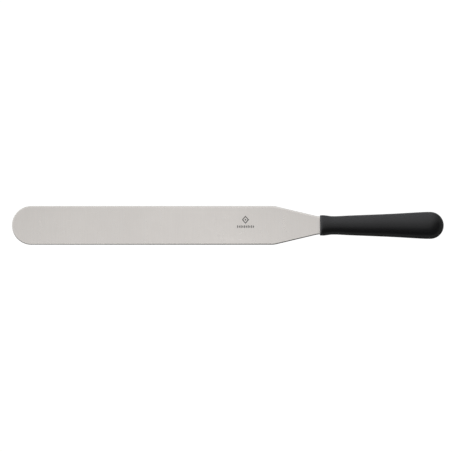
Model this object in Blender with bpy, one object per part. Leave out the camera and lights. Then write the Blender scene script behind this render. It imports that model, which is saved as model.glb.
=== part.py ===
"""Straight icing spatula: a thin steel blade whose tang is held in a two-stage moulded handle.

Metres, +Z up. The spatula lies level, with its tip towards -X and its butt towards +X. The origin is
under the middle of the overall box, level with the underside of the handle.

Each piece is modelled from the handle's front face, at x = 0, with the blade's mid-plane at z = 0.
One empty then carries all of them to the frame above.
"""

import math

import bmesh
import bpy
from mathutils import Vector

# Blade: parallel sides from a round tip to the shoulder, then a taper that eases into the neck
BLADE_LENGTH = 0.350
BLADE_WIDTH = 0.044
SHOULDER_X = -0.0519
SHOULDER_RADIUS = 0.025
NECK_WIDTH = 0.0204
NECK_X = -0.0021
NECK_RADIUS = 0.030

# The steel has its full thickness up to the end of the grinding, and thins from there to the tip
STEEL_THICKNESS = 0.0012
TIP_THICKNESS = 0.0008
GRINDING_END_X = -0.060
RIM_ROUNDING = 0.00022

# Tang: just inside the handle the neck slopes in to it, from the first heel to the second
HEEL_X = (0.0030, 0.0062)
HEEL_RADIUS = 0.0024
TANG_WIDTH = 0.012
TANG_END_X = 0.105
TANG_END_RADIUS = 0.004

# Lock holes in the tang, each filled by a peg that joins the core above and below the tang
LOCK_HOLE_X = (0.030, 0.058, 0.086)
PEG_DIAMETER = 0.006
PEG_HEIGHT = 0.005

# Handle sections from the front face through the waist to where the round butt begins:
# (distance from the front face, width, thickness)
HANDLE_SECTIONS = (
    (0.0000, 0.0232, 0.0153),
    (0.0046, 0.0231, 0.0158),
    (0.0145, 0.0209, 0.0162),
    (0.0344, 0.0225, 0.0168),
    (0.0800, 0.0262, 0.0190),
    (0.1190, 0.0305, 0.0215),
    (0.1255, 0.0306, 0.0216),
)
BUTT_RADIUS = 0.01525
SECTION_POWER = 2.3

# Rounding of the handle's front edge, at the sides and at the top: how far back it reaches, and how
# far it draws the front face in
EDGE_REACH = (0.0009, 0.0030)
EDGE_DEPTH = (0.0009, 0.0030)
BODY_START_X = 0.0042

# The grip is a skin of even thickness round the core, and solid in front of it
GRIP_WALL = 0.0022
CAVITY_X = 0.0082

# Space left between pieces that touch
GAP = 0.0003

# How finely the round shapes are divided
SECTION_POINTS = 32
CORE_SECTION_POINTS = 24
HANDLE_STEPS = 22
CORE_STEPS = 14
BUTT_STEPS = 7
CORE_BUTT_STEPS = 4
EDGE_STEPS = 4
TIP_STEPS = 14
FILLET_STEPS = 5
PEG_POINTS = 16

# Edges that turn more than this are shaded sharp, and a blade's rim turns more than the second
SHARP_ANGLE = math.radians(35.0)
RIM_ANGLE = math.radians(50.0)

HANDLE_LENGTH = HANDLE_SECTIONS[-1][0] + BUTT_RADIUS
HANDLE_HALF_THICKNESS = HANDLE_SECTIONS[-1][2] / 2


def clear_scene():
    for item in list(bpy.data.objects):
        bpy.data.objects.remove(item, do_unlink=True)


# Materials

def principled(name, colour, roughness, metallic=0.0):
    material = bpy.data.materials.new(name)
    material.use_nodes = True
    shader = material.node_tree.nodes["Principled BSDF"]
    shader.inputs["Base Color"].default_value = (*colour, 1.0)
    shader.inputs["Roughness"].default_value = roughness
    shader.inputs["Metallic"].default_value = metallic
    return material


def satin_steel():
    return principled("satin_steel", (0.62, 0.60, 0.57), 0.32, metallic=1.0)


def grip_plastic():
    return principled("grip_plastic", (0.022, 0.023, 0.026), 0.55)


def core_plastic():
    return principled("core_plastic", (0.060, 0.060, 0.062), 0.45)


# Outlines in plan, as lists of points

def arc(centre_x, radius, start, end, steps):
    """Points of an arc about a centre on the X axis, from one angle in degrees to the other."""
    angles = [math.radians(start + (end - start) * step / steps) for step in range(steps + 1)]
    return [Vector((centre_x + radius * math.cos(angle), radius * math.sin(angle)))
            for angle in angles]


def fillet(before, corner, after, radius):
    """Points of the arc that rounds the corner between two straight lines."""
    to_before = (before - corner).normalized()
    to_after = (after - corner).normalized()
    half_angle = to_before.angle(to_after) / 2
    centre = corner + (to_before + to_after).normalized() * (radius / math.sin(half_angle))
    reach = radius / math.tan(half_angle)
    first = (corner + to_before * reach - centre).normalized()
    last = (corner + to_after * reach - centre).normalized()
    directions = [first.slerp(last, step / FILLET_STEPS) for step in range(FILLET_STEPS + 1)]
    return [centre + direction * radius for direction in directions]


def tang_side(grow=0.0):
    """One side of the tang's round end."""
    end_x, side = TANG_END_X + grow, TANG_WIDTH / 2 + grow
    start, corner, end = Vector((0.0, side)), Vector((end_x, side)), Vector((end_x, 0.0))
    return fillet(start, corner, end, TANG_END_RADIUS + grow)


def heel_side(grow=0.0):
    """One side of the neck inside the handle, from its full width in to the tang's."""
    front = Vector((0.0, NECK_WIDTH / 2 + grow))
    outer_heel = Vector((HEEL_X[0] + grow, front.y))
    inner_heel = Vector((HEEL_X[1] + grow, TANG_WIDTH / 2 + grow))
    back = Vector((TANG_END_X, inner_heel.y))
    return (fillet(front, outer_heel, inner_heel, HEEL_RADIUS)
            + fillet(outer_heel, inner_heel, back, HEEL_RADIUS))


def blade_side():
    """The left side of the blade, from the tip to the end of the tang."""
    tip_radius = BLADE_WIDTH / 2
    tip = arc(tip_radius - BLADE_LENGTH, tip_radius, 180.0, 90.0, TIP_STEPS)
    grinding_end = Vector((GRINDING_END_X, tip_radius))
    shoulder = Vector((SHOULDER_X, tip_radius))
    neck = Vector((NECK_X, NECK_WIDTH / 2))
    heel = Vector((HEEL_X[0], NECK_WIDTH / 2))
    side = tip + [grinding_end]
    side += fillet(grinding_end, shoulder, neck, SHOULDER_RADIUS)
    side += fillet(shoulder, neck, heel, NECK_RADIUS)
    return side + heel_side() + tang_side()


def both_sides(side):
    """A closed outline from its left side: the same points, then their mirror image backwards."""
    mirrored = [Vector((point.x, -point.y)) for point in reversed(side) if point.y > GAP]
    return side + mirrored


# Solids

def add_object(name, shape, frame, material=None):
    mesh = bpy.data.meshes.new(name)
    bmesh.ops.recalc_face_normals(shape, faces=shape.faces)
    shape.to_mesh(mesh)
    shape.free()
    item = bpy.data.objects.new(name, mesh)
    bpy.context.scene.collection.objects.link(item)
    item.parent = frame
    if material is None:
        item.hide_render = True
        item.display_type = "WIRE"
    else:
        mesh.materials.append(material)
    return item


def shade_round(item):
    item.data.shade_smooth()
    item.data.set_sharp_from_angle(angle=SHARP_ANGLE)


def thicken(shape, thickness_at):
    """Turn the flat faces of a shape into a plate, with a thickness for each place along X."""
    bmesh.ops.extrude_face_region(shape, geom=shape.faces[:])
    count = len(shape.verts) // 2
    for number, vert in enumerate(shape.verts):
        side = 1.0 if number < count else -1.0
        vert.co.z = side * thickness_at(vert.co.x) / 2


def plate(side, thickness):
    """A flat plate of one thickness on a symmetric outline."""
    shape = bmesh.new()
    shape.faces.new([shape.verts.new((point.x, point.y, 0.0)) for point in both_sides(side)])
    thicken(shape, lambda x: thickness)
    return shape


def cylinder(x, diameter, height):
    """An upright cylinder on the handle's centre line."""
    shape = bmesh.new()
    bmesh.ops.create_cone(shape, cap_ends=True, segments=PEG_POINTS, radius1=diameter / 2,
                          radius2=diameter / 2, depth=height)
    bmesh.ops.translate(shape, verts=shape.verts, vec=(x, 0.0, 0.0))
    return shape


def combine(item, other, operation):
    modifier = item.modifiers.new(other.name, "BOOLEAN")
    modifier.operation = operation
    modifier.solver = "EXACT"
    modifier.object = other


# Handle form, shared by the grip, its cavity and the core

def section_slope(number, column):
    """Slope of the handle's form at a section, level at both ends."""
    if number in (0, len(HANDLE_SECTIONS) - 1):
        return 0.0
    before, after = HANDLE_SECTIONS[number - 1], HANDLE_SECTIONS[number + 1]
    return (after[column] - before[column]) / (after[0] - before[0])


def handle_size(x, column):
    """Width (column 1) or thickness (column 2) of the handle in front of the butt."""
    number = 0
    while x > HANDLE_SECTIONS[number + 1][0] and number < len(HANDLE_SECTIONS) - 2:
        number += 1
    start, end = HANDLE_SECTIONS[number], HANDLE_SECTIONS[number + 1]
    span = end[0] - start[0]
    t = (x - start[0]) / span
    return (start[column] * (2 * t**3 - 3 * t**2 + 1)
            + section_slope(number, column) * span * (t**3 - 2 * t**2 + t)
            + end[column] * (3 * t**2 - 2 * t**3)
            + section_slope(number + 1, column) * span * (t**3 - t**2))


def section_corners(points):
    """Corners (across, up) of a cross-section that is a little squarer than an ellipse.

    It measures 2 between its upright facets and 2 between its level ones, and so it lies on a facet.
    """
    facet = math.cos(math.pi / points)
    corners = []
    for number in range(points):
        angle = math.tau * (number + 0.5) / points
        across, up = math.cos(angle) / facet, math.sin(angle) / facet
        corners.append((math.copysign(abs(across) ** (2 / SECTION_POWER), across),
                        math.copysign(abs(up) ** (2 / SECTION_POWER), up)))
    return corners


def section_ring(x, half_width, half_thickness, points):
    return [Vector((x, across * half_width, up * half_thickness))
            for across, up in section_corners(points)]


def handle_rings(start_x, inset, points, steps, butt_steps):
    """Rings of the handle's form from a place along it to the butt, all drawn in by an inset."""
    butt_x = HANDLE_SECTIONS[-1][0]
    rings = []
    for step in range(steps + 1):
        x = start_x + (butt_x - start_x) * step / steps
        rings.append(section_ring(x, handle_size(x, 1) / 2 - inset,
                                  handle_size(x, 2) / 2 - inset, points))
    half_width = handle_size(butt_x, 1) / 2 - inset
    half_thickness = handle_size(butt_x, 2) / 2 - inset
    for step in range(1, butt_steps):
        angle = math.pi / 2 * step / butt_steps
        x = butt_x + (BUTT_RADIUS - inset) * math.sin(angle)
        rings.append(section_ring(x, half_width * math.cos(angle),
                                  half_thickness * math.cos(angle), points))
    return rings


def side_to_top(values, up):
    """A value that changes from the first at the handle's sides to the second at its top."""
    return values[0] + (values[1] - values[0]) * abs(up)


def front_edge_rings(points):
    """Rings that round the handle's front edge, from the flat front face back to its full size."""
    rings = []
    for step in range(EDGE_STEPS + 1):
        turn = math.pi / 2 * step / EDGE_STEPS
        ring = []
        for across, up in section_corners(points):
            x = side_to_top(EDGE_REACH, up) * (1 - math.cos(turn))
            drawn_in = side_to_top(EDGE_DEPTH, up) * (1 - math.sin(turn))
            ring.append(Vector((x, across * (handle_size(x, 1) / 2 - drawn_in),
                                up * (handle_size(x, 2) / 2 - drawn_in))))
        rings.append(ring)
    return rings


def loft(rings, end_x):
    """A closed solid through a row of rings, flat at the front and drawn to a point at the butt."""
    shape = bmesh.new()
    rows = [[shape.verts.new(point) for point in ring] for ring in rings]
    shape.faces.new(rows[0])
    point = shape.verts.new((end_x, 0.0, 0.0))
    count = len(rows[0])
    for row, next_row in zip(rows, rows[1:]):
        for number in range(count):
            following = (number + 1) % count
            shape.faces.new((row[number], row[following], next_row[following], next_row[number]))
    for number in range(count):
        shape.faces.new((rows[-1][number], rows[-1][(number + 1) % count], point))
    return shape


# Pieces

def steel_thickness(x):
    """Full thickness behind the end of the grinding, thinning evenly from there to the tip."""
    share = max(0.0, (GRINDING_END_X - x) / (BLADE_LENGTH + GRINDING_END_X))
    return STEEL_THICKNESS + (TIP_THICKNESS - STEEL_THICKNESS) * share


def make_blade(frame):
    """Blade, neck and tang in one sheet of steel, with rounded rims and three lock holes."""
    shape = bmesh.new()
    rim = [shape.verts.new((point.x, point.y, 0.0)) for point in both_sides(blade_side())]
    sheet = shape.faces.new(rim)
    grinding_end = [vert for vert in rim if abs(vert.co.x - GRINDING_END_X) < GAP]
    bmesh.utils.face_split(sheet, *grinding_end)
    thicken(shape, steel_thickness)
    blade = add_object("blade", shape, frame, satin_steel())
    rounding = blade.modifiers.new("rim", "BEVEL")
    rounding.width = RIM_ROUNDING
    rounding.segments = 1
    rounding.limit_method = "ANGLE"
    rounding.angle_limit = RIM_ANGLE
    for number, x in enumerate(LOCK_HOLE_X):
        hole = cylinder(x, PEG_DIAMETER + 2 * GAP, PEG_HEIGHT)
        combine(blade, add_object(f"lock_hole_{number}", hole, frame), "DIFFERENCE")
    shade_round(blade)


def make_core(frame):
    """First moulding: fills the grip, open at the front for the tang, with a peg for each hole."""
    inset = GRIP_WALL + GAP
    rings = handle_rings(CAVITY_X + GAP, inset, CORE_SECTION_POINTS, CORE_STEPS, CORE_BUTT_STEPS)
    shape = loft(rings, HANDLE_LENGTH - inset)
    core = add_object("handle_core", shape, frame, core_plastic())
    room = [Vector((0.0, TANG_WIDTH / 2 + GAP))] + tang_side(GAP)
    slot = add_object("core_slot", plate(room, STEEL_THICKNESS + 2 * GAP), frame)
    combine(core, slot, "DIFFERENCE")
    for number, x in enumerate(LOCK_HOLE_X):
        peg = cylinder(x, PEG_DIAMETER, PEG_HEIGHT)
        combine(core, add_object(f"peg_{number}", peg, frame), "UNION")
    shade_round(core)


def make_grip(frame):
    """Outer moulding: collar, waist and round butt over the core, closed in round the neck."""
    rings = front_edge_rings(SECTION_POINTS)
    rings += handle_rings(BODY_START_X, 0.0, SECTION_POINTS, HANDLE_STEPS, BUTT_STEPS)
    grip = add_object("handle_grip", loft(rings, HANDLE_LENGTH), frame, grip_plastic())
    hollow = handle_rings(CAVITY_X, GRIP_WALL, CORE_SECTION_POINTS, CORE_STEPS, CORE_BUTT_STEPS)
    cavity = add_object("core_cavity", loft(hollow, HANDLE_LENGTH - GRIP_WALL), frame)
    combine(grip, cavity, "DIFFERENCE")
    front = Vector((-CAVITY_X, NECK_WIDTH / 2 + GAP))
    back = Vector((CAVITY_X + GAP, TANG_WIDTH / 2 + GAP))
    room = [front] + heel_side(GAP) + [back]
    slot = add_object("neck_slot", plate(room, STEEL_THICKNESS + 2 * GAP), frame)
    combine(grip, slot, "DIFFERENCE")
    shade_round(grip)


def make_spatula():
    clear_scene()
    frame = bpy.data.objects.new("spatula", None)
    bpy.context.scene.collection.objects.link(frame)
    frame.location = ((BLADE_LENGTH - HANDLE_LENGTH) / 2, 0.0, HANDLE_HALF_THICKNESS)
    make_blade(frame)
    make_core(frame)
    make_grip(frame)


make_spatula()
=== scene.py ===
"""Looks of the straight icing spatula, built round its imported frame.

Metres, +Z up. The blade lies level with its tip towards -X, and the handle's butt is towards +X. A
fine blade and a fine grip stand for their CAD solids, the hidden core keeps its own solid, and a
plain mark is etched on the blade in front of the shoulder.
"""

import math

import bmesh
import bpy
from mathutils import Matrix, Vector


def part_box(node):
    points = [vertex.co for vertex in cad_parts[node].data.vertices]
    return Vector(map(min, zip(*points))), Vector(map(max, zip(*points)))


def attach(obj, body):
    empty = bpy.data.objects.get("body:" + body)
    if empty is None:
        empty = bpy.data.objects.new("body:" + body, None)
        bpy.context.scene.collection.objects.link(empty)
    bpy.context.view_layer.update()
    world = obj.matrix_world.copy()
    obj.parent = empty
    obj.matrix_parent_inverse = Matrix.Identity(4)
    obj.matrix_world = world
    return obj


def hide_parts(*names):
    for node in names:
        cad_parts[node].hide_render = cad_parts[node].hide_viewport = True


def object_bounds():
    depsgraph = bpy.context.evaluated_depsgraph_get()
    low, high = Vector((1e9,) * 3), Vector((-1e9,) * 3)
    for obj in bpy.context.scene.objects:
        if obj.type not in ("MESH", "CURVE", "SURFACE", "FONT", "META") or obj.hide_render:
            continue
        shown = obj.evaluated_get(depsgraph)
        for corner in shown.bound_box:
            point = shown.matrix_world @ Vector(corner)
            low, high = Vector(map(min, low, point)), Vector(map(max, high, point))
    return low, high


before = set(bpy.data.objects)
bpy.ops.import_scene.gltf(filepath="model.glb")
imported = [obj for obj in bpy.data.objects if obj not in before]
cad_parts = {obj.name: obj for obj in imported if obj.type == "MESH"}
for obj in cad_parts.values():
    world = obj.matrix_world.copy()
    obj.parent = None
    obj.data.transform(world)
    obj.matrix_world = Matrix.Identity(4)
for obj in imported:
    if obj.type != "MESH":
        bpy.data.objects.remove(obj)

CAD_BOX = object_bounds()

# Places taken from the frame
BLADE_LOW, BLADE_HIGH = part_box("blade")
FRONT_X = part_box("handle_grip")[0].x
BLADE_LENGTH = FRONT_X - BLADE_LOW.x
TANG_END = BLADE_HIGH.x - FRONT_X
BLADE_HALF_WIDTH = BLADE_HIGH.y
MID_Z = (BLADE_LOW.z + BLADE_HIGH.z) / 2
STEEL_HALF = (BLADE_HIGH.z - BLADE_LOW.z) / 2

# Blade, neck and tang. Distances along the spatula are from the handle's front face
SHOULDER = -0.0519
SHOULDER_RADIUS = 0.025
NECK = -0.0021
NECK_RADIUS = 0.030
NECK_HALF_WIDTH = 0.0102
HEEL = (0.0030, 0.0062)
HEEL_RADIUS = 0.0024
TANG_HALF_WIDTH = 0.006
TANG_END_RADIUS = 0.004
LOCK_HOLES = (0.030, 0.058, 0.086)
LOCK_HOLE_RADIUS = 0.0033

# The steel thins from the end of the grinding to the tip. Its rim is rounded all the way round, and
# the rounding reaches in from the side by a number of half thicknesses. A supporting ring lies just
# inside the rim, so that the flats stay flat in their shading
GRINDING_END = -0.060
TIP_HALF_THICKNESS = 0.0004
RIM_REACH = 2.0
SUPPORT_INSET = 0.00018

# Handle sections: (distance from the front face, width, thickness)
HANDLE_SECTIONS = (
    (0.0000, 0.0232, 0.0153),
    (0.0046, 0.0231, 0.0158),
    (0.0145, 0.0209, 0.0162),
    (0.0344, 0.0225, 0.0168),
    (0.0800, 0.0262, 0.0190),
    (0.1190, 0.0305, 0.0215),
    (0.1255, 0.0306, 0.0216),
)
BUTT_START = HANDLE_SECTIONS[-1][0]
BUTT_RADIUS = 0.01525
SECTION_POWER = 2.3

# Rounding of the front edge, at the sides and at the top: how far back and how far in it reaches
EDGE_REACH = (0.0009, 0.0030)
EDGE_DEPTH = (0.0009, 0.0030)
BODY_START = 0.0042

# Inside of the grip: a cavity for the core, and a slot for the neck
GRIP_WALL = 0.0022
CAVITY_START = 0.0082
SLOT_CLEARANCE = 0.00006
SLOT_CHAMFER = 0.00018

# Fine detail of the moulding: the line where the mould parts, and the mark of its gate
SEAM_HALF_WIDTH = 0.00016
SEAM_FOOT_HALF_WIDTH = 0.00048
SEAM_HEIGHT = 0.00005
GATE_RADIUS = 0.0019
GATE_DEPTH = 0.00014
GATE_WALL = 0.00018
NUB_RADIUS = 0.0005
NUB_DEPTH = GATE_DEPTH / 3

# Etched mark: a lozenge with a dot in it, over a row of bars, long and short in turn. It is a very
# thin plate, lifted above the flat and rooted below it
MARK_X = -0.0846
LOZENGE_Y = 0.0064
LOZENGE_SIZE = (0.0040, 0.0046)
LOZENGE_STROKE = 0.0010
DOT_RADIUS = 0.0009
BARS_Y = -0.0014
BAR_COUNT = 10
BAR_PITCH = 0.0020
BAR_WIDTH = 0.0011
BAR_LENGTHS = (0.0032, 0.0025)
MARK_LIFT = 0.000008
MARK_ROOT = 0.00003

# How finely the shapes are divided
TIP_STEPS = 48
FILLET_STEPS = 12
RUNG_SPACING = 0.006
RUNG_COLUMNS = 8
RIM_STEPS = 5
SLOT_END_STEPS = 9
HANDLE_STEPS = 80
BUTT_STEPS = 20
BUTT_STEPS_LEFT_TO_GATE = 3
EDGE_STEPS = 8
CAVITY_STEPS = 24
CAVITY_BUTT_STEPS = 8
ROUND_STEPS = 24
CAP_STEPS = 6

# A quarter of a section: the seam's two points close to the side, then even steps from an angle on
QUARTER_STEPS = 24
QUARTER_START = math.radians(4.0)
SEAM_ANGLE_LIMITS = (0.3 * QUARTER_START, 0.65 * QUARTER_START)

# Edges that turn more than this are shaded sharp
MARK_SHARP_ANGLE = math.radians(40.0)
GRIP_SHARP_ANGLE = math.radians(50.0)


# Meshes

def add_mesh(name, shape, materials):
    mesh = bpy.data.meshes.new(name)
    bmesh.ops.recalc_face_normals(shape, faces=shape.faces)
    shape.to_mesh(mesh)
    shape.free()
    mesh.shade_smooth()
    piece = bpy.data.objects.new(name, mesh)
    bpy.context.scene.collection.objects.link(piece)
    for material in materials:
        mesh.materials.append(material)
    return piece


def from_front(points):
    """Points measured from the middle of the handle's front face, in the frame."""
    return [Vector((FRONT_X + x, y, MID_Z + z)) for x, y, z in points]


def band(shape, row, next_row):
    """A band of quads between two closed rings of vertices."""
    for number in range(len(row)):
        following = (number + 1) % len(row)
        shape.faces.new((row[number], row[following], next_row[following], next_row[number]))


def fan(shape, row, point):
    """Triangles that close a ring of vertices at a point on its axis."""
    pole = shape.verts.new(point)
    for number in range(len(row)):
        shape.faces.new((row[number], row[(number + 1) % len(row)], pole))


# Blade

def fillet(before, corner, after, radius):
    """Points of the arc that rounds the corner between two straight lines."""
    to_before = (before - corner).normalized()
    to_after = (after - corner).normalized()
    half_angle = to_before.angle(to_after) / 2
    centre = corner + (to_before + to_after).normalized() * (radius / math.sin(half_angle))
    reach = radius / math.tan(half_angle)
    first = (corner + to_before * reach - centre).normalized()
    last = (corner + to_after * reach - centre).normalized()
    directions = [first.slerp(last, step / FILLET_STEPS) for step in range(FILLET_STEPS + 1)]
    return [centre + direction * radius for direction in directions]


def tip_side():
    """One quarter of a circle, from the tip to where the sides run parallel."""
    centre = BLADE_HALF_WIDTH - BLADE_LENGTH
    points = []
    for step in range(TIP_STEPS + 1):
        angle = math.pi / 2 * step / TIP_STEPS
        points.append(Vector((centre - BLADE_HALF_WIDTH * math.cos(angle),
                              BLADE_HALF_WIDTH * math.sin(angle))))
    return points


def blade_side():
    """The blade's side at +Y in plan, from the tip to the tang's end."""
    grinding_end = Vector((GRINDING_END, BLADE_HALF_WIDTH))
    shoulder = Vector((SHOULDER, BLADE_HALF_WIDTH))
    neck = Vector((NECK, NECK_HALF_WIDTH))
    outer_heel = Vector((HEEL[0], NECK_HALF_WIDTH))
    inner_heel = Vector((HEEL[1], TANG_HALF_WIDTH))
    end_corner = Vector((TANG_END, TANG_HALF_WIDTH))
    end = Vector((TANG_END, 0.0))
    side = tip_side() + [grinding_end]
    side += fillet(grinding_end, shoulder, neck, SHOULDER_RADIUS)
    side += fillet(shoulder, neck, outer_heel, NECK_RADIUS)
    side += fillet(neck, outer_heel, inner_heel, HEEL_RADIUS)
    side += fillet(outer_heel, inner_heel, end_corner, HEEL_RADIUS)
    side += fillet(inner_heel, end_corner, end, TANG_END_RADIUS)
    return divided(side)


def divided(side):
    """The same line with its long straight stretches divided evenly."""
    points = [side[0]]
    for start, end in zip(side, side[1:]):
        parts = max(1, round((end - start).length / RUNG_SPACING))
        points += [start.lerp(end, part / parts) for part in range(1, parts + 1)]
    return points


def outward(before, point, after):
    """Outward direction at a point of the +Y side, which runs towards +X."""
    along = (point - before).normalized() + (after - point).normalized()
    return Vector((-along.y, along.x)).normalized()


def side_directions(side):
    """Outward direction at each point of the +Y side."""
    mirror_tip = Vector((side[1].x, -side[1].y))
    mirror_end = Vector((side[-2].x, -side[-2].y))
    line = [mirror_tip] + side + [mirror_end]
    return [outward(*line[number:number + 3]) for number in range(len(side))]


def half_thickness(x):
    """Half the steel's thickness: full behind the end of the grinding, least at the tip."""
    share = max(0.0, (GRINDING_END - x) / (GRINDING_END + BLADE_LENGTH))
    return STEEL_HALF + (TIP_HALF_THICKNESS - STEEL_HALF) * share


def rim_ring(side, directions, inset_share, height_share, extra=0.0):
    """One closed ring round the blade, drawn in from the outline and raised from mid-thickness."""
    ring = []
    for point, direction in zip(side, directions):
        half = half_thickness(point.x)
        inner = point - direction * (half * RIM_REACH * inset_share + extra)
        ring.append((inner.x, max(inner.y, 0.0), half * height_share))
    mirrored = [(x, -y, z) for x, y, z in reversed(ring[1:-1])]
    return from_front(ring + mirrored)


def rim_rows(shape, side):
    """Rings of vertices from one flat round the rim to the other, marked where they are rim."""
    mark = shape.verts.layers.float.new("rim")
    directions = side_directions(side)
    rows = [(rim_ring(side, directions, 1.0, 1.0, SUPPORT_INSET), 0.0)]
    last = 2 * RIM_STEPS
    for step in range(last + 1):
        angle = math.pi * step / last
        on_rim = 0.0 if step in (0, last) else 1.0
        rows.append((rim_ring(side, directions, 1 - math.sin(angle), math.cos(angle)), on_rim))
    rows.append((rim_ring(side, directions, 1.0, -1.0, SUPPORT_INSET), 0.0))
    vert_rows = []
    for points, on_rim in rows:
        verts = [shape.verts.new(point) for point in points]
        for vert in verts:
            vert[mark] = on_rim
        vert_rows.append(verts)
    return vert_rows


def flat_face(shape, ring, side_count):
    """Fill one flat of the blade with rungs of quads, from each point at +Y to its mirror."""
    starts = ring[1:side_count - 1]
    ends = list(reversed(ring[side_count:]))
    rungs = []
    for start, end in zip(starts, ends):
        rung = [start]
        for column in range(1, RUNG_COLUMNS):
            rung.append(shape.verts.new(start.co.lerp(end.co, column / RUNG_COLUMNS)))
        rungs.append(rung + [end])
    tip, tang_end = ring[0], ring[side_count - 1]
    for column in range(RUNG_COLUMNS):
        shape.faces.new((tip, rungs[0][column], rungs[0][column + 1]))
        shape.faces.new((tang_end, rungs[-1][column + 1], rungs[-1][column]))
        for rung, next_rung in zip(rungs, rungs[1:]):
            shape.faces.new((rung[column], next_rung[column],
                             next_rung[column + 1], rung[column + 1]))


def blade_shape():
    side = blade_side()
    shape = bmesh.new()
    rows = rim_rows(shape, side)
    for row, next_row in zip(rows, rows[1:]):
        band(shape, row, next_row)
    for ring in (rows[0], rows[-1]):
        flat_face(shape, ring, len(side))
    return shape


def hole_cutter(x):
    """An upright round cutter through the tang."""
    shape = bmesh.new()
    bmesh.ops.create_cone(shape, cap_ends=True, segments=ROUND_STEPS, radius1=LOCK_HOLE_RADIUS,
                          radius2=LOCK_HOLE_RADIUS, depth=4 * STEEL_HALF)
    bmesh.ops.translate(shape, verts=shape.verts, vec=(FRONT_X + x, 0.0, MID_Z))
    return add_mesh("hole_cutter", shape, [])


def cut(piece, cutters):
    """Cut the cutters out of the piece for good, and remove them."""
    for cutter in cutters:
        modifier = piece.modifiers.new("cut", "BOOLEAN")
        modifier.operation = "DIFFERENCE"
        modifier.solver = "EXACT"
        modifier.object = cutter
    evaluated = piece.evaluated_get(bpy.context.evaluated_depsgraph_get())
    mesh = bpy.data.meshes.new_from_object(evaluated)
    piece.modifiers.clear()
    piece.data = mesh
    for cutter in cutters:
        bpy.data.objects.remove(cutter, do_unlink=True)


def make_blade():
    blade = add_mesh("blade_fine", blade_shape(), [satin_steel()])
    cut(blade, [hole_cutter(x) for x in LOCK_HOLES])
    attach(blade, "root")
    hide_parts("blade")


# Etched mark

def etched_plate(shape, outline):
    """A very thin plate on the blade's upper flat, with the outline's points in plan."""
    top, root = [], []
    for x, y in outline:
        surface = half_thickness(x)
        top.append(shape.verts.new(from_front([(x, y, surface + MARK_LIFT)])[0]))
        root.append(shape.verts.new(from_front([(x, y, surface - MARK_ROOT)])[0]))
    band(shape, top, root)
    return top, root


def filled_plate(shape, outline):
    top, root = etched_plate(shape, outline)
    shape.faces.new(top)
    shape.faces.new(root)


def capsule(x, y, width, length):
    """Outline of an upright bar with round ends."""
    points = []
    for end in (1.0, -1.0):
        for step in range(CAP_STEPS + 1):
            angle = math.pi * step / CAP_STEPS
            points.append((x + end * width / 2 * math.cos(angle),
                           y + end * ((length - width) / 2 + width / 2 * math.sin(angle))))
    return points


def disc(x, y, radius):
    """Outline of a round dot."""
    turns = [2 * math.pi * step / ROUND_STEPS for step in range(ROUND_STEPS)]
    return [(x + radius * math.cos(turn), y + radius * math.sin(turn)) for turn in turns]


def lozenge(grow):
    """The four corners of the lozenge, moved out by a distance along each axis."""
    wide, high = LOZENGE_SIZE[0] + grow, LOZENGE_SIZE[1] + grow
    return [(MARK_X + wide, LOZENGE_Y), (MARK_X, LOZENGE_Y + high),
            (MARK_X - wide, LOZENGE_Y), (MARK_X, LOZENGE_Y - high)]


def mark_shape():
    shape = bmesh.new()
    outer_top, outer_root = etched_plate(shape, lozenge(0.0))
    inner_top, inner_root = etched_plate(shape, lozenge(-LOZENGE_STROKE * math.sqrt(2)))
    band(shape, outer_top, inner_top)
    band(shape, outer_root, inner_root)
    filled_plate(shape, disc(MARK_X, LOZENGE_Y, DOT_RADIUS))
    for number in range(BAR_COUNT):
        x = MARK_X + (number - (BAR_COUNT - 1) / 2) * BAR_PITCH
        filled_plate(shape, capsule(x, BARS_Y, BAR_WIDTH, BAR_LENGTHS[number % 2]))
    return shape


def make_mark():
    mark = add_mesh("etched_mark", mark_shape(), [etched_steel()])
    mark.data.set_sharp_from_angle(angle=MARK_SHARP_ANGLE)
    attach(mark, "root")


# Handle form

def section_slope(number, column):
    """Slope of the handle's form at a section, level at both ends."""
    if number in (0, len(HANDLE_SECTIONS) - 1):
        return 0.0
    before, after = HANDLE_SECTIONS[number - 1], HANDLE_SECTIONS[number + 1]
    return (after[column] - before[column]) / (after[0] - before[0])


def handle_size(x, column):
    """Width (column 1) or thickness (column 2) of the handle in front of the butt."""
    number = 0
    while x > HANDLE_SECTIONS[number + 1][0] and number < len(HANDLE_SECTIONS) - 2:
        number += 1
    start, end = HANDLE_SECTIONS[number], HANDLE_SECTIONS[number + 1]
    span = end[0] - start[0]
    part = (x - start[0]) / span
    return (start[column] * (2 * part**3 - 3 * part**2 + 1)
            + section_slope(number, column) * span * (part**3 - 2 * part**2 + part)
            + end[column] * (3 * part**2 - 2 * part**3)
            + section_slope(number + 1, column) * span * (part**3 - part**2))


def quarter_angles(half_height):
    """Angles from the side to the top of a section, close together where the seam runs."""
    angles = [0.0]
    for height, limit in zip((SEAM_HALF_WIDTH, SEAM_FOOT_HALF_WIDTH), SEAM_ANGLE_LIMITS):
        share = min(1.0, height / half_height) ** (SECTION_POWER / 2)
        angles.append(min(math.asin(share), limit))
    for step in range(QUARTER_STEPS + 1):
        angles.append(QUARTER_START + (math.pi / 2 - QUARTER_START) * step / QUARTER_STEPS)
    return angles


def section_point(x, angle, half_width, half_height):
    """A point of a cross-section that is a little squarer than an ellipse."""
    return (x, half_width * max(0.0, math.cos(angle)) ** (2 / SECTION_POWER),
            half_height * math.sin(angle) ** (2 / SECTION_POWER))


def full_ring(quarter):
    """A closed ring from its quarter between the +Y side and the top."""
    half = quarter + [(x, -y, z) for x, y, z in reversed(quarter[:-1])]
    return from_front(half + [(x, y, -z) for x, y, z in reversed(half[1:-1])])


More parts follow.
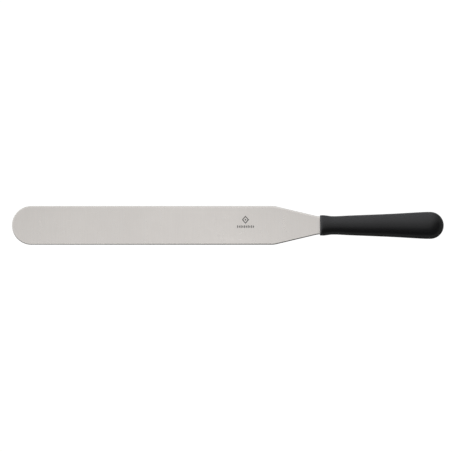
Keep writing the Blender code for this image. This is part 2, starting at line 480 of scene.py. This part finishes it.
def with_seam(quarter):
    """Raise the outermost point of a quarter, which makes a fine ridge along both sides."""
    x, y, z = quarter[0]
    return [(x, y + SEAM_HEIGHT, z)] + quarter[1:]


def oval_ring(x, half_width, half_height, seam=False):
    quarter = [section_point(x, angle, half_width, half_height)
               for angle in quarter_angles(half_height)]
    return full_ring(with_seam(quarter) if seam else quarter)


def body_ring(x, inset, seam):
    return oval_ring(x, handle_size(x, 1) / 2 - inset, handle_size(x, 2) / 2 - inset, seam)


def body_rings(start, inset, steps, seam=False):
    """Rings of the handle's form from a place along it to where the butt begins."""
    return [body_ring(start + (BUTT_START - start) * step / steps, inset, seam)
            for step in range(steps + 1)]


def butt_rings(inset, steps, last_step, seam=False):
    """Rings of the round butt, up to one of the steps of its quarter turn."""
    half_width = handle_size(BUTT_START, 1) / 2 - inset
    half_height = handle_size(BUTT_START, 2) / 2 - inset
    rings = []
    for step in range(1, last_step + 1):
        angle = math.pi / 2 * step / steps
        rings.append(oval_ring(BUTT_START + (BUTT_RADIUS - inset) * math.sin(angle),
                               half_width * math.cos(angle), half_height * math.cos(angle), seam))
    return rings


def butt_surface(y, z):
    """Distance from the front face to the butt's surface at a place near its end."""
    wide = (abs(y) / (handle_size(BUTT_START, 1) / 2)) ** SECTION_POWER
    high = (abs(z) / (handle_size(BUTT_START, 2) / 2)) ** SECTION_POWER
    return BUTT_START + BUTT_RADIUS * math.sqrt(1 - (wide + high) ** (2 / SECTION_POWER))


def gate_ring(radius, depth):
    """A round ring in the end of the butt, sunk below its surface."""
    quarter = []
    for angle in quarter_angles(radius):
        y, z = radius * max(0.0, math.cos(angle)), radius * math.sin(angle)
        quarter.append((butt_surface(y, z) - depth, y, z))
    return full_ring(quarter)


def gate_rings():
    """The small sunk round that the mould's gate leaves, with a nub in its middle."""
    floor_radius = GATE_RADIUS - GATE_WALL
    return [gate_ring(GATE_RADIUS + GATE_WALL, 0.0), gate_ring(GATE_RADIUS, 0.0),
            gate_ring(floor_radius, GATE_DEPTH), gate_ring(NUB_RADIUS + GATE_WALL, GATE_DEPTH),
            gate_ring(NUB_RADIUS, NUB_DEPTH)]


def side_to_top(values, angle):
    """A value that changes from the first at the handle's sides to the second at its top."""
    return values[0] + (values[1] - values[0]) * math.sin(angle) ** (2 / SECTION_POWER)


def front_edge_ring(turn):
    """One ring of the rounded front edge, from 0 at the front face to a quarter turn."""
    quarter = []
    for angle in quarter_angles(handle_size(0.0, 2) / 2):
        x = side_to_top(EDGE_REACH, angle) * (1 - math.cos(turn))
        drawn_in = side_to_top(EDGE_DEPTH, angle) * (1 - math.sin(turn))
        quarter.append(section_point(x, angle, handle_size(x, 1) / 2 - drawn_in,
                                     handle_size(x, 2) / 2 - drawn_in))
    return full_ring(quarter)


def slot_ring(x, half_width, half_height):
    """A ring of the slot round the neck: two flats with ends rounded like the neck's own rims."""
    reach = half_height * RIM_REACH
    centre = half_width - reach
    flat_steps = len(quarter_angles(half_height)) - 1 - SLOT_END_STEPS
    quarter = []
    for step in range(SLOT_END_STEPS):
        angle = math.pi / 2 * step / SLOT_END_STEPS
        quarter.append((x, centre + reach * math.cos(angle), half_height * math.sin(angle)))
    for step in range(flat_steps + 1):
        quarter.append((x, centre * (1 - step / flat_steps), half_height))
    return full_ring(quarter)


def slot_rings():
    """Rings down the slot, from the cavity out to the chamfered mouth in the front face."""
    height = STEEL_HALF + SLOT_CLEARANCE
    wide, narrow = NECK_HALF_WIDTH + SLOT_CLEARANCE, TANG_HALF_WIDTH + SLOT_CLEARANCE
    return [
        slot_ring(CAVITY_START, narrow, height),
        slot_ring(HEEL[1] + 2 * SLOT_CLEARANCE, narrow, height),
        slot_ring(HEEL[0] + 2 * SLOT_CLEARANCE, wide, height),
        slot_ring(SLOT_CHAMFER, wide, height),
        slot_ring(0.0, wide + SLOT_CHAMFER, height + SLOT_CHAMFER),
    ]


def cavity_rings():
    """Rings of the cavity round the core, from its front to its butt."""
    rings = body_rings(CAVITY_START, GRIP_WALL, CAVITY_STEPS)
    return rings + butt_rings(GRIP_WALL, CAVITY_BUTT_STEPS, CAVITY_BUTT_STEPS - 1)


def outer_rings():
    """Rings of the outer form, from the front face over the rounded edge to the gate mark."""
    turns = [math.pi / 2 * step / EDGE_STEPS for step in range(EDGE_STEPS + 1)]
    rings = [front_edge_ring(turn) for turn in turns]
    rings += body_rings(BODY_START, 0.0, HANDLE_STEPS, seam=True)
    last_step = BUTT_STEPS - BUTT_STEPS_LEFT_TO_GATE
    return rings + butt_rings(0.0, BUTT_STEPS, last_step, seam=True) + gate_rings()


def grip_shape():
    """Cavity, slot, front face, rounded edge and outer form of the grip in one closed skin."""
    shape = bmesh.new()
    rings = list(reversed(cavity_rings())) + slot_rings() + outer_rings()
    rows = [[shape.verts.new(point) for point in ring] for ring in rings]
    for row, next_row in zip(rows, rows[1:]):
        band(shape, row, next_row)
    butt_end = BUTT_START + BUTT_RADIUS
    fan(shape, rows[0], from_front([(butt_end - GRIP_WALL, 0.0, 0.0)])[0])
    fan(shape, rows[-1], from_front([(butt_end - NUB_DEPTH, 0.0, 0.0)])[0])
    return shape


def make_grip():
    grip = add_mesh("grip_fine", grip_shape(), [grip_plastic()])
    grip.data.set_sharp_from_angle(angle=GRIP_SHARP_ANGLE)
    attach(grip, "root")
    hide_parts("handle_grip")


def finish_core():
    """The core keeps its CAD solid and gets its own material."""
    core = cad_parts["handle_core"]
    for slot in core.material_slots:
        slot.material = core_plastic()


# Materials

# Two spans of a noise's levels: nearly all of them, and those between its broad highs and lows
ALL_LEVELS = (0.2, 0.8)
MIDDLE_LEVELS = (0.3, 0.7)


class Graph:
    """Short calls for the nodes of one material, all placed by the piece's own coordinates."""

    def __init__(self, name):
        self.material = bpy.data.materials.new(name)
        self.material.use_nodes = True
        self.tree = self.material.node_tree
        self.shader = self.tree.nodes["Principled BSDF"]
        self.place = self.tree.nodes.new("ShaderNodeTexCoord").outputs["Object"]

    def link(self, output, socket):
        self.tree.links.new(output, socket)

    def feed(self, socket, value):
        """Set a socket to a number or a colour, or link it to another node's output."""
        if isinstance(value, bpy.types.NodeSocket):
            self.link(value, socket)
        else:
            socket.default_value = value

    def stretched(self, scale, turn=0.0):
        """The piece's coordinates, turned about Z and then scaled along each axis."""
        turned = self.tree.nodes.new("ShaderNodeVectorRotate")
        turned.rotation_type = "Z_AXIS"
        turned.inputs["Angle"].default_value = math.radians(turn)
        self.link(self.place, turned.inputs["Vector"])
        product = self.tree.nodes.new("ShaderNodeVectorMath")
        product.operation = "MULTIPLY"
        product.inputs[1].default_value = scale
        self.link(turned.outputs["Vector"], product.inputs[0])
        return product.outputs["Vector"]

    def noise(self, cell, detail=2.0, stretch=(1.0, 1.0, 1.0), turn=0.0):
        """Noise from 0 to 1 with cells of a size in metres, times the stretch along each axis."""
        noise = self.tree.nodes.new("ShaderNodeTexNoise")
        noise.inputs["Scale"].default_value = 1.0
        noise.inputs["Detail"].default_value = detail
        scale = [1.0 / (cell * times) for times in stretch]
        self.link(self.stretched(scale, turn), noise.inputs["Vector"])
        return noise.outputs["Fac"]

    def remap(self, value, low, high, new_low=0.0, new_high=1.0):
        ramp = self.tree.nodes.new("ShaderNodeMapRange")
        self.feed(ramp.inputs["Value"], value)
        for name, number in (("From Min", low), ("From Max", high),
                             ("To Min", new_low), ("To Max", new_high)):
            ramp.inputs[name].default_value = number
        return ramp.outputs["Result"]

    def swing(self, noise, amount, levels=MIDDLE_LEVELS):
        """Noise turned into a change of up to an amount either way."""
        return self.remap(noise, *levels, -amount, amount)

    def math(self, operation, first, second):
        node = self.tree.nodes.new("ShaderNodeMath")
        node.operation = operation
        self.feed(node.inputs[0], first)
        self.feed(node.inputs[1], second)
        return node.outputs["Value"]

    def scaled(self, value, factor):
        return self.math("MULTIPLY", value, factor)

    def total(self, *values):
        result = values[0]
        for value in values[1:]:
            result = self.math("ADD", result, value)
        return result

    def blend(self, share, first, second):
        """A colour between two others. The node's colour sockets share their names with its other
        sockets, so they are taken by number."""
        node = self.tree.nodes.new("ShaderNodeMix")
        node.data_type = "RGBA"
        self.feed(node.inputs["Factor"], share)
        for socket, value in ((node.inputs[6], first), (node.inputs[7], second)):
            self.feed(socket, value if isinstance(value, bpy.types.NodeSocket) else (*value, 1.0))
        return node.outputs[2]

    def bump(self, height, depth, under=None):
        """Normals from a height between 0 and 1 times a depth in metres."""
        node = self.tree.nodes.new("ShaderNodeBump")
        node.inputs["Distance"].default_value = depth
        self.link(height, node.inputs["Height"])
        if under is not None:
            self.link(under, node.inputs["Normal"])
        return node.outputs["Normal"]

    def attribute(self, name):
        node = self.tree.nodes.new("ShaderNodeAttribute")
        node.attribute_name = name
        return node.outputs["Fac"]

    def axes(self):
        """The piece's coordinates along X, Y and Z."""
        node = self.tree.nodes.new("ShaderNodeSeparateXYZ")
        self.link(self.place, node.inputs["Vector"])
        return node.outputs

    def finish(self, colour, roughness, normal, metallic=0.0, specular=0.5):
        self.link(colour, self.shader.inputs["Base Color"])
        self.link(roughness, self.shader.inputs["Roughness"])
        self.link(normal, self.shader.inputs["Normal"])
        self.shader.inputs["Metallic"].default_value = metallic
        self.shader.inputs["Specular IOR Level"].default_value = specular
        return self.material


STEEL_DARK = (0.630, 0.603, 0.578)
STEEL_BRIGHT = (0.790, 0.756, 0.726)
STEEL_RIM_PAINTED_SHADE = (0.560, 0.540, 0.520)
STEEL_SCRATCH = (0.82, 0.79, 0.76)
STEEL_ROUGHNESS = (0.28, 0.32)
STEEL_GRAIN_DEPTH = 0.000002

# Fine lines of the grinding, longest across the blade
GRAIN_STRETCH = (1.0, 60.0, 60.0)
STREAK_STRETCH = (1.0, 12.0, 12.0)

# Painted light along the blade, from its brightest place to the tip, and painted shade across it
PAINTED_BRIGHTEST_X = -0.010
PAINTED_FADE_DISTANCES = (0.02, 0.23)
PAINTED_FADE_TONES = (0.80, 0.12)
PAINTED_CROSS_SHADE = 0.13

# A band along the sides, worn smoother, and scratches in three directions, in degrees
WORN_BAND = 0.0035
SCRATCH_TURNS = (7.0, -24.0, 63.0)
SCRATCH_STRETCH = (110.0, 1.0, 1.0)
SCRATCH_LEVELS = (0.73, 0.79)
SCRATCH_SHARE = 0.20
SCRATCH_DEPTH = 0.000002


def distance_in_blade(steel):
    """Distance from the blade's middle line, or from the tip's centre where the tip is round."""
    x, y, _ = steel.axes()
    past_centre = steel.math("SUBTRACT", x, BLADE_LOW.x + BLADE_HALF_WIDTH)
    ahead = steel.math("MINIMUM", past_centre, 0.0)
    squares = steel.total(steel.math("MULTIPLY", ahead, ahead), steel.math("MULTIPLY", y, y))
    return steel.math("SQRT", squares, 0.0)


def scratches(steel):
    """Sparse fine scratches in three directions, from scraping and wiping."""
    layers = []
    for turn in SCRATCH_TURNS:
        lines = steel.noise(cell=0.00035, detail=1.0, stretch=SCRATCH_STRETCH, turn=turn)
        layers.append(steel.remap(lines, *SCRATCH_LEVELS))
    return steel.math("MAXIMUM", steel.math("MAXIMUM", layers[0], layers[1]), layers[2])


def painted_shading_tone(steel):
    """Painted light and shade: brightest near one place along the steel, a little darker towards
    +Y.
    """
    x, y, _ = steel.axes()
    from_brightest = steel.math("ABSOLUTE", steel.math("SUBTRACT", x, PAINTED_BRIGHTEST_X), 0.0)
    return steel.total(steel.remap(from_brightest, *PAINTED_FADE_DISTANCES, *PAINTED_FADE_TONES),
                       steel.remap(y, -BLADE_HALF_WIDTH, BLADE_HALF_WIDTH, PAINTED_CROSS_SHADE, -PAINTED_CROSS_SHADE))


def satin_steel():
    """Steel ground across the blade, with fine scratches, rims polished smoother and painted darker
    as shade.
    """
    steel = Graph("satin_steel_fine")
    grain = steel.noise(cell=0.00030, detail=3.0, stretch=GRAIN_STRETCH)
    streaks = steel.noise(cell=0.006, detail=2.0, stretch=STREAK_STRETCH)
    clouds = steel.noise(cell=0.070, detail=2.0)
    specks = steel.noise(cell=0.009, detail=3.0)
    scratch = scratches(steel)
    rim = steel.attribute("rim")
    worn = steel.remap(distance_in_blade(steel), BLADE_HALF_WIDTH - WORN_BAND, BLADE_HALF_WIDTH)

    # The tone: painted light and shade, with random clouds, specks, streaks and grain
    tone = steel.total(painted_shading_tone(steel), steel.swing(clouds, amount=0.10),
                       steel.swing(specks, amount=0.03), steel.swing(streaks, amount=0.03),
                       steel.swing(grain, amount=0.16, levels=ALL_LEVELS))
    colour = steel.blend(tone, STEEL_DARK, STEEL_BRIGHT)
    colour = steel.blend(steel.scaled(scratch, SCRATCH_SHARE), colour, STEEL_SCRATCH)
    # The rims are painted darker: painted shade along the blade's edges
    colour = steel.blend(rim, colour, STEEL_RIM_PAINTED_SHADE)

    roughness = steel.total(steel.remap(grain, *ALL_LEVELS, *STEEL_ROUGHNESS),
                            steel.swing(streaks, amount=0.02),
                            steel.scaled(worn, factor=-0.04),
                            steel.scaled(scratch, factor=-0.03),
                            steel.scaled(rim, factor=-0.10))
    normal = steel.bump(grain, STEEL_GRAIN_DEPTH)
    normal = steel.bump(scratch, SCRATCH_DEPTH, under=normal)
    return steel.finish(colour, roughness, normal, metallic=1.0)


ETCH_DARK = (0.055, 0.055, 0.056)
ETCH_PALE = (0.120, 0.118, 0.115)
ETCH_THIN = (0.20, 0.195, 0.19)
ETCH_THIN_LEVELS = (0.45, 0.75)
ETCH_THIN_SHARE = 0.35
ETCH_ROUGHNESS = (0.48, 0.66)
ETCH_DEPTH = 0.000008


def etched_steel():
    """The dark, dull skin that etching leaves, uneven like fine frost and thinner in patches."""
    etch = Graph("etched_steel_fine")
    frost = etch.noise(cell=0.00025, detail=3.0)
    patches = etch.noise(cell=0.004, detail=2.0)
    colour = etch.blend(etch.remap(frost, *MIDDLE_LEVELS), ETCH_DARK, ETCH_PALE)
    thin = etch.remap(patches, *ETCH_THIN_LEVELS, 0.0, ETCH_THIN_SHARE)
    colour = etch.blend(thin, colour, ETCH_THIN)
    roughness = etch.remap(frost, *ALL_LEVELS, *ETCH_ROUGHNESS)
    return etch.finish(colour, roughness, etch.bump(frost, ETCH_DEPTH), metallic=0.6)


PLASTIC_DARK = (0.0056, 0.0056, 0.0061)
PLASTIC_PALE = (0.0086, 0.0087, 0.0094)
PLASTIC_SCUFF = (0.040, 0.040, 0.041)
PLASTIC_ROUGHNESS = (0.28, 0.37)
PLASTIC_GRAIN_DEPTH = 0.000010

# Broad clouds of tone, and the flow of the plastic along the mould
CLOUD_TONES = (0.30, 0.70)
FLOW_STRETCH = (3.0, 1.0, 1.0)
FLOW_DEPTH = 0.00002

# Small pale scuffs at an angle in degrees, and where along X the grip is held
SCUFF_TURN = 35.0
SCUFF_STRETCH = (9.0, 1.0, 1.0)
SCUFF_LEVELS = (0.72, 0.80)
SCUFF_SHARE = 0.6
HELD_RANGE = (0.150, 0.235)
HELD_LEVELS = (0.35, 0.65)


def grip_plastic():
    """Black plastic with the fine grain of a spark-eroded mould, smoother where it is held."""
    plastic = Graph("grip_plastic_fine")
    grain = plastic.noise(cell=0.00028, detail=2.0)
    flow = plastic.noise(cell=0.012, detail=3.0, stretch=FLOW_STRETCH)
    clouds = plastic.noise(cell=0.045, detail=2.0)
    marks = plastic.noise(cell=0.0005, detail=2.0, stretch=SCUFF_STRETCH, turn=SCUFF_TURN)
    scuffs = plastic.remap(marks, *SCUFF_LEVELS, 0.0, SCUFF_SHARE)
    held = plastic.math("MULTIPLY", plastic.remap(plastic.axes()[0], *HELD_RANGE),
                        plastic.remap(clouds, *HELD_LEVELS))

    tone = plastic.total(plastic.remap(clouds, *MIDDLE_LEVELS, *CLOUD_TONES),
                         plastic.swing(flow, amount=0.12),
                         plastic.swing(grain, amount=0.18, levels=ALL_LEVELS))
    colour = plastic.blend(tone, PLASTIC_DARK, PLASTIC_PALE)
    colour = plastic.blend(scuffs, colour, PLASTIC_SCUFF)

    roughness = plastic.total(plastic.remap(grain, *ALL_LEVELS, *PLASTIC_ROUGHNESS),
                              plastic.swing(flow, amount=0.02),
                              plastic.scaled(held, factor=-0.04))
    normal = plastic.bump(flow, FLOW_DEPTH)
    normal = plastic.bump(grain, PLASTIC_GRAIN_DEPTH, under=normal)
    return plastic.finish(colour, roughness, normal, specular=0.25)


CORE_DARK = (0.045, 0.045, 0.047)
CORE_PALE = (0.070, 0.070, 0.072)
CORE_ROUGHNESS = (0.42, 0.52)
CORE_SINK_DEPTH = 0.00005
CORE_GRAIN_DEPTH = 0.000012


def core_plastic():
    """Plain dark plastic of the first moulding, with a dull, slightly sunk surface."""
    plastic = Graph("core_plastic_fine")
    sink = plastic.noise(cell=0.006, detail=2.0)
    grain = plastic.noise(cell=0.0004, detail=2.0)
    colour = plastic.blend(plastic.remap(sink, *MIDDLE_LEVELS), CORE_DARK, CORE_PALE)
    roughness = plastic.remap(grain, *ALL_LEVELS, *CORE_ROUGHNESS)
    normal = plastic.bump(grain, CORE_GRAIN_DEPTH, under=plastic.bump(sink, CORE_SINK_DEPTH))
    return plastic.finish(colour, roughness, normal)


# Stage, light and camera

STAGE_SIZE = 12.0
STAGE_DROP = 0.0002
STAGE_REFLECTANCE = 0.3
WHITE = 1.05

# A broad soft light fades across the sky from one side to the other, and is dimmer low down. The
# horizon glows, so that no side of the object is left black
LIGHT_FROM = Vector((-0.45, 1.0, 0.06)).normalized()
DARK_SIDE = 0.12
BRIGHT_SIDE = 1.30
DARK_END = -0.27
BRIGHT_START = 0.27
LOW_SHARE = 0.72
LOW_RANGE = (0.2, 0.9)
HORIZON_GLOW = 0.72
HORIZON_TOP = 0.60

# A key light low on the bright side, which shapes the black handle and isn't mirrored in anything
KEY_FROM = Vector((-1.20, 1.0, 0.07))
KEY_STRENGTH = 36.0
KEY_ANGLE = math.radians(20.0)


def camera_sees(tree, mix):
    """Split a mix shader: its second input is what the camera sees, its first lights the object."""
    path = tree.nodes.new("ShaderNodeLightPath")
    tree.links.new(path.outputs["Is Camera Ray"], mix.inputs["Fac"])


def stage_material():
    """White to the camera, and a pale grey floor to the light that falls on the object."""
    material = bpy.data.materials.new("stage_white")
    material.use_nodes = True
    tree = material.node_tree
    tree.nodes.clear()
    output = tree.nodes.new("ShaderNodeOutputMaterial")
    floor = tree.nodes.new("ShaderNodeBsdfDiffuse")
    floor.inputs["Color"].default_value = (STAGE_REFLECTANCE,) * 3 + (1.0,)
    white = tree.nodes.new("ShaderNodeEmission")
    white.inputs["Strength"].default_value = WHITE
    mix = tree.nodes.new("ShaderNodeMixShader")
    tree.links.new(floor.outputs["BSDF"], mix.inputs[1])
    tree.links.new(white.outputs["Emission"], mix.inputs[2])
    tree.links.new(mix.outputs["Shader"], output.inputs["Surface"])
    camera_sees(tree, mix)
    return material


def make_stage():
    shape = bmesh.new()
    half, height = STAGE_SIZE / 2, CAD_BOX[0].z - STAGE_DROP
    corners = ((-half, -half), (half, -half), (half, half), (-half, half))
    shape.faces.new([shape.verts.new((x, y, height)) for x, y in corners])
    add_mesh("stage", shape, [stage_material()])


def combined(tree, operation, first, second):
    node = tree.nodes.new("ShaderNodeMath")
    node.operation = operation
    tree.links.new(first, node.inputs[0])
    tree.links.new(second, node.inputs[1])
    return node.outputs["Value"]


def map_range(tree, value, source, target):
    """A smooth step between two levels, as a value goes from one end of its range to the other."""
    ramp = tree.nodes.new("ShaderNodeMapRange")
    ramp.interpolation_type = "SMOOTHSTEP"
    for name, number in (("From Min", source[0]), ("From Max", source[1]),
                         ("To Min", target[0]), ("To Max", target[1])):
        ramp.inputs[name].default_value = number
    tree.links.new(value, ramp.inputs["Value"])
    return ramp.outputs["Result"]


def sky_strength(tree):
    """Strength of the sky: a fade from the dark side to the bright one, and the horizon's glow."""
    place = tree.nodes.new("ShaderNodeTexCoord")
    towards = tree.nodes.new("ShaderNodeVectorMath")
    towards.operation = "DOT_PRODUCT"
    towards.inputs[1].default_value = LIGHT_FROM
    tree.links.new(place.outputs["Generated"], towards.inputs[0])
    across = map_range(tree, towards.outputs["Value"], (DARK_END, BRIGHT_START),
                       (DARK_SIDE, BRIGHT_SIDE))
    axes = tree.nodes.new("ShaderNodeSeparateXYZ")
    tree.links.new(place.outputs["Generated"], axes.inputs["Vector"])
    low_share = map_range(tree, axes.outputs["Z"], LOW_RANGE, (LOW_SHARE, 1.0))
    glow = map_range(tree, axes.outputs["Z"], (HORIZON_TOP, 0.0), (0.0, HORIZON_GLOW))
    return combined(tree, "MAXIMUM", combined(tree, "MULTIPLY", across, low_share), glow)


def make_sky():
    world = bpy.data.worlds.new("studio")
    bpy.context.scene.world = world
    world.use_nodes = True
    tree = world.node_tree
    tree.nodes.clear()
    output = tree.nodes.new("ShaderNodeOutputWorld")
    softbox = tree.nodes.new("ShaderNodeBackground")
    softbox.inputs["Color"].default_value = (1.0, 1.0, 1.0, 1.0)
    backdrop = tree.nodes.new("ShaderNodeBackground")
    backdrop.inputs["Color"].default_value = (1.0, 1.0, 1.0, 1.0)
    backdrop.inputs["Strength"].default_value = WHITE
    mix = tree.nodes.new("ShaderNodeMixShader")
    tree.links.new(sky_strength(tree), softbox.inputs["Strength"])
    tree.links.new(softbox.outputs["Background"], mix.inputs[1])
    tree.links.new(backdrop.outputs["Background"], mix.inputs[2])
    tree.links.new(mix.outputs["Shader"], output.inputs["Surface"])
    camera_sees(tree, mix)


def make_key():
    data = bpy.data.lights.new("key", "SUN")
    data.energy = KEY_STRENGTH
    data.angle = KEY_ANGLE
    key = bpy.data.objects.new("key", data)
    key.rotation_mode = "QUATERNION"
    key.rotation_quaternion = KEY_FROM.to_track_quat("Z", "Y")
    key.visible_glossy = False
    bpy.context.scene.collection.objects.link(key)


CAMERA_HEIGHT = 4.0
PICTURE_WIDTH = 0.5138
PICTURE_CENTRE = (-0.00213, -0.00070)
SENSOR_WIDTH = 36.0


def make_camera():
    """A camera straight above the spatula, looking down."""
    data = bpy.data.cameras.new("camera")
    data.sensor_width = SENSOR_WIDTH
    data.lens = SENSOR_WIDTH * CAMERA_HEIGHT / PICTURE_WIDTH
    camera = bpy.data.objects.new("camera", data)
    camera.location = (*PICTURE_CENTRE, MID_Z + CAMERA_HEIGHT)
    bpy.context.scene.collection.objects.link(camera)
    bpy.context.scene.camera = camera


make_camera()
make_sky()
make_key()
make_stage()
make_blade()
make_mark()
make_grip()
finish_core()
bpy.context.scene.view_settings.view_transform = "Standard"
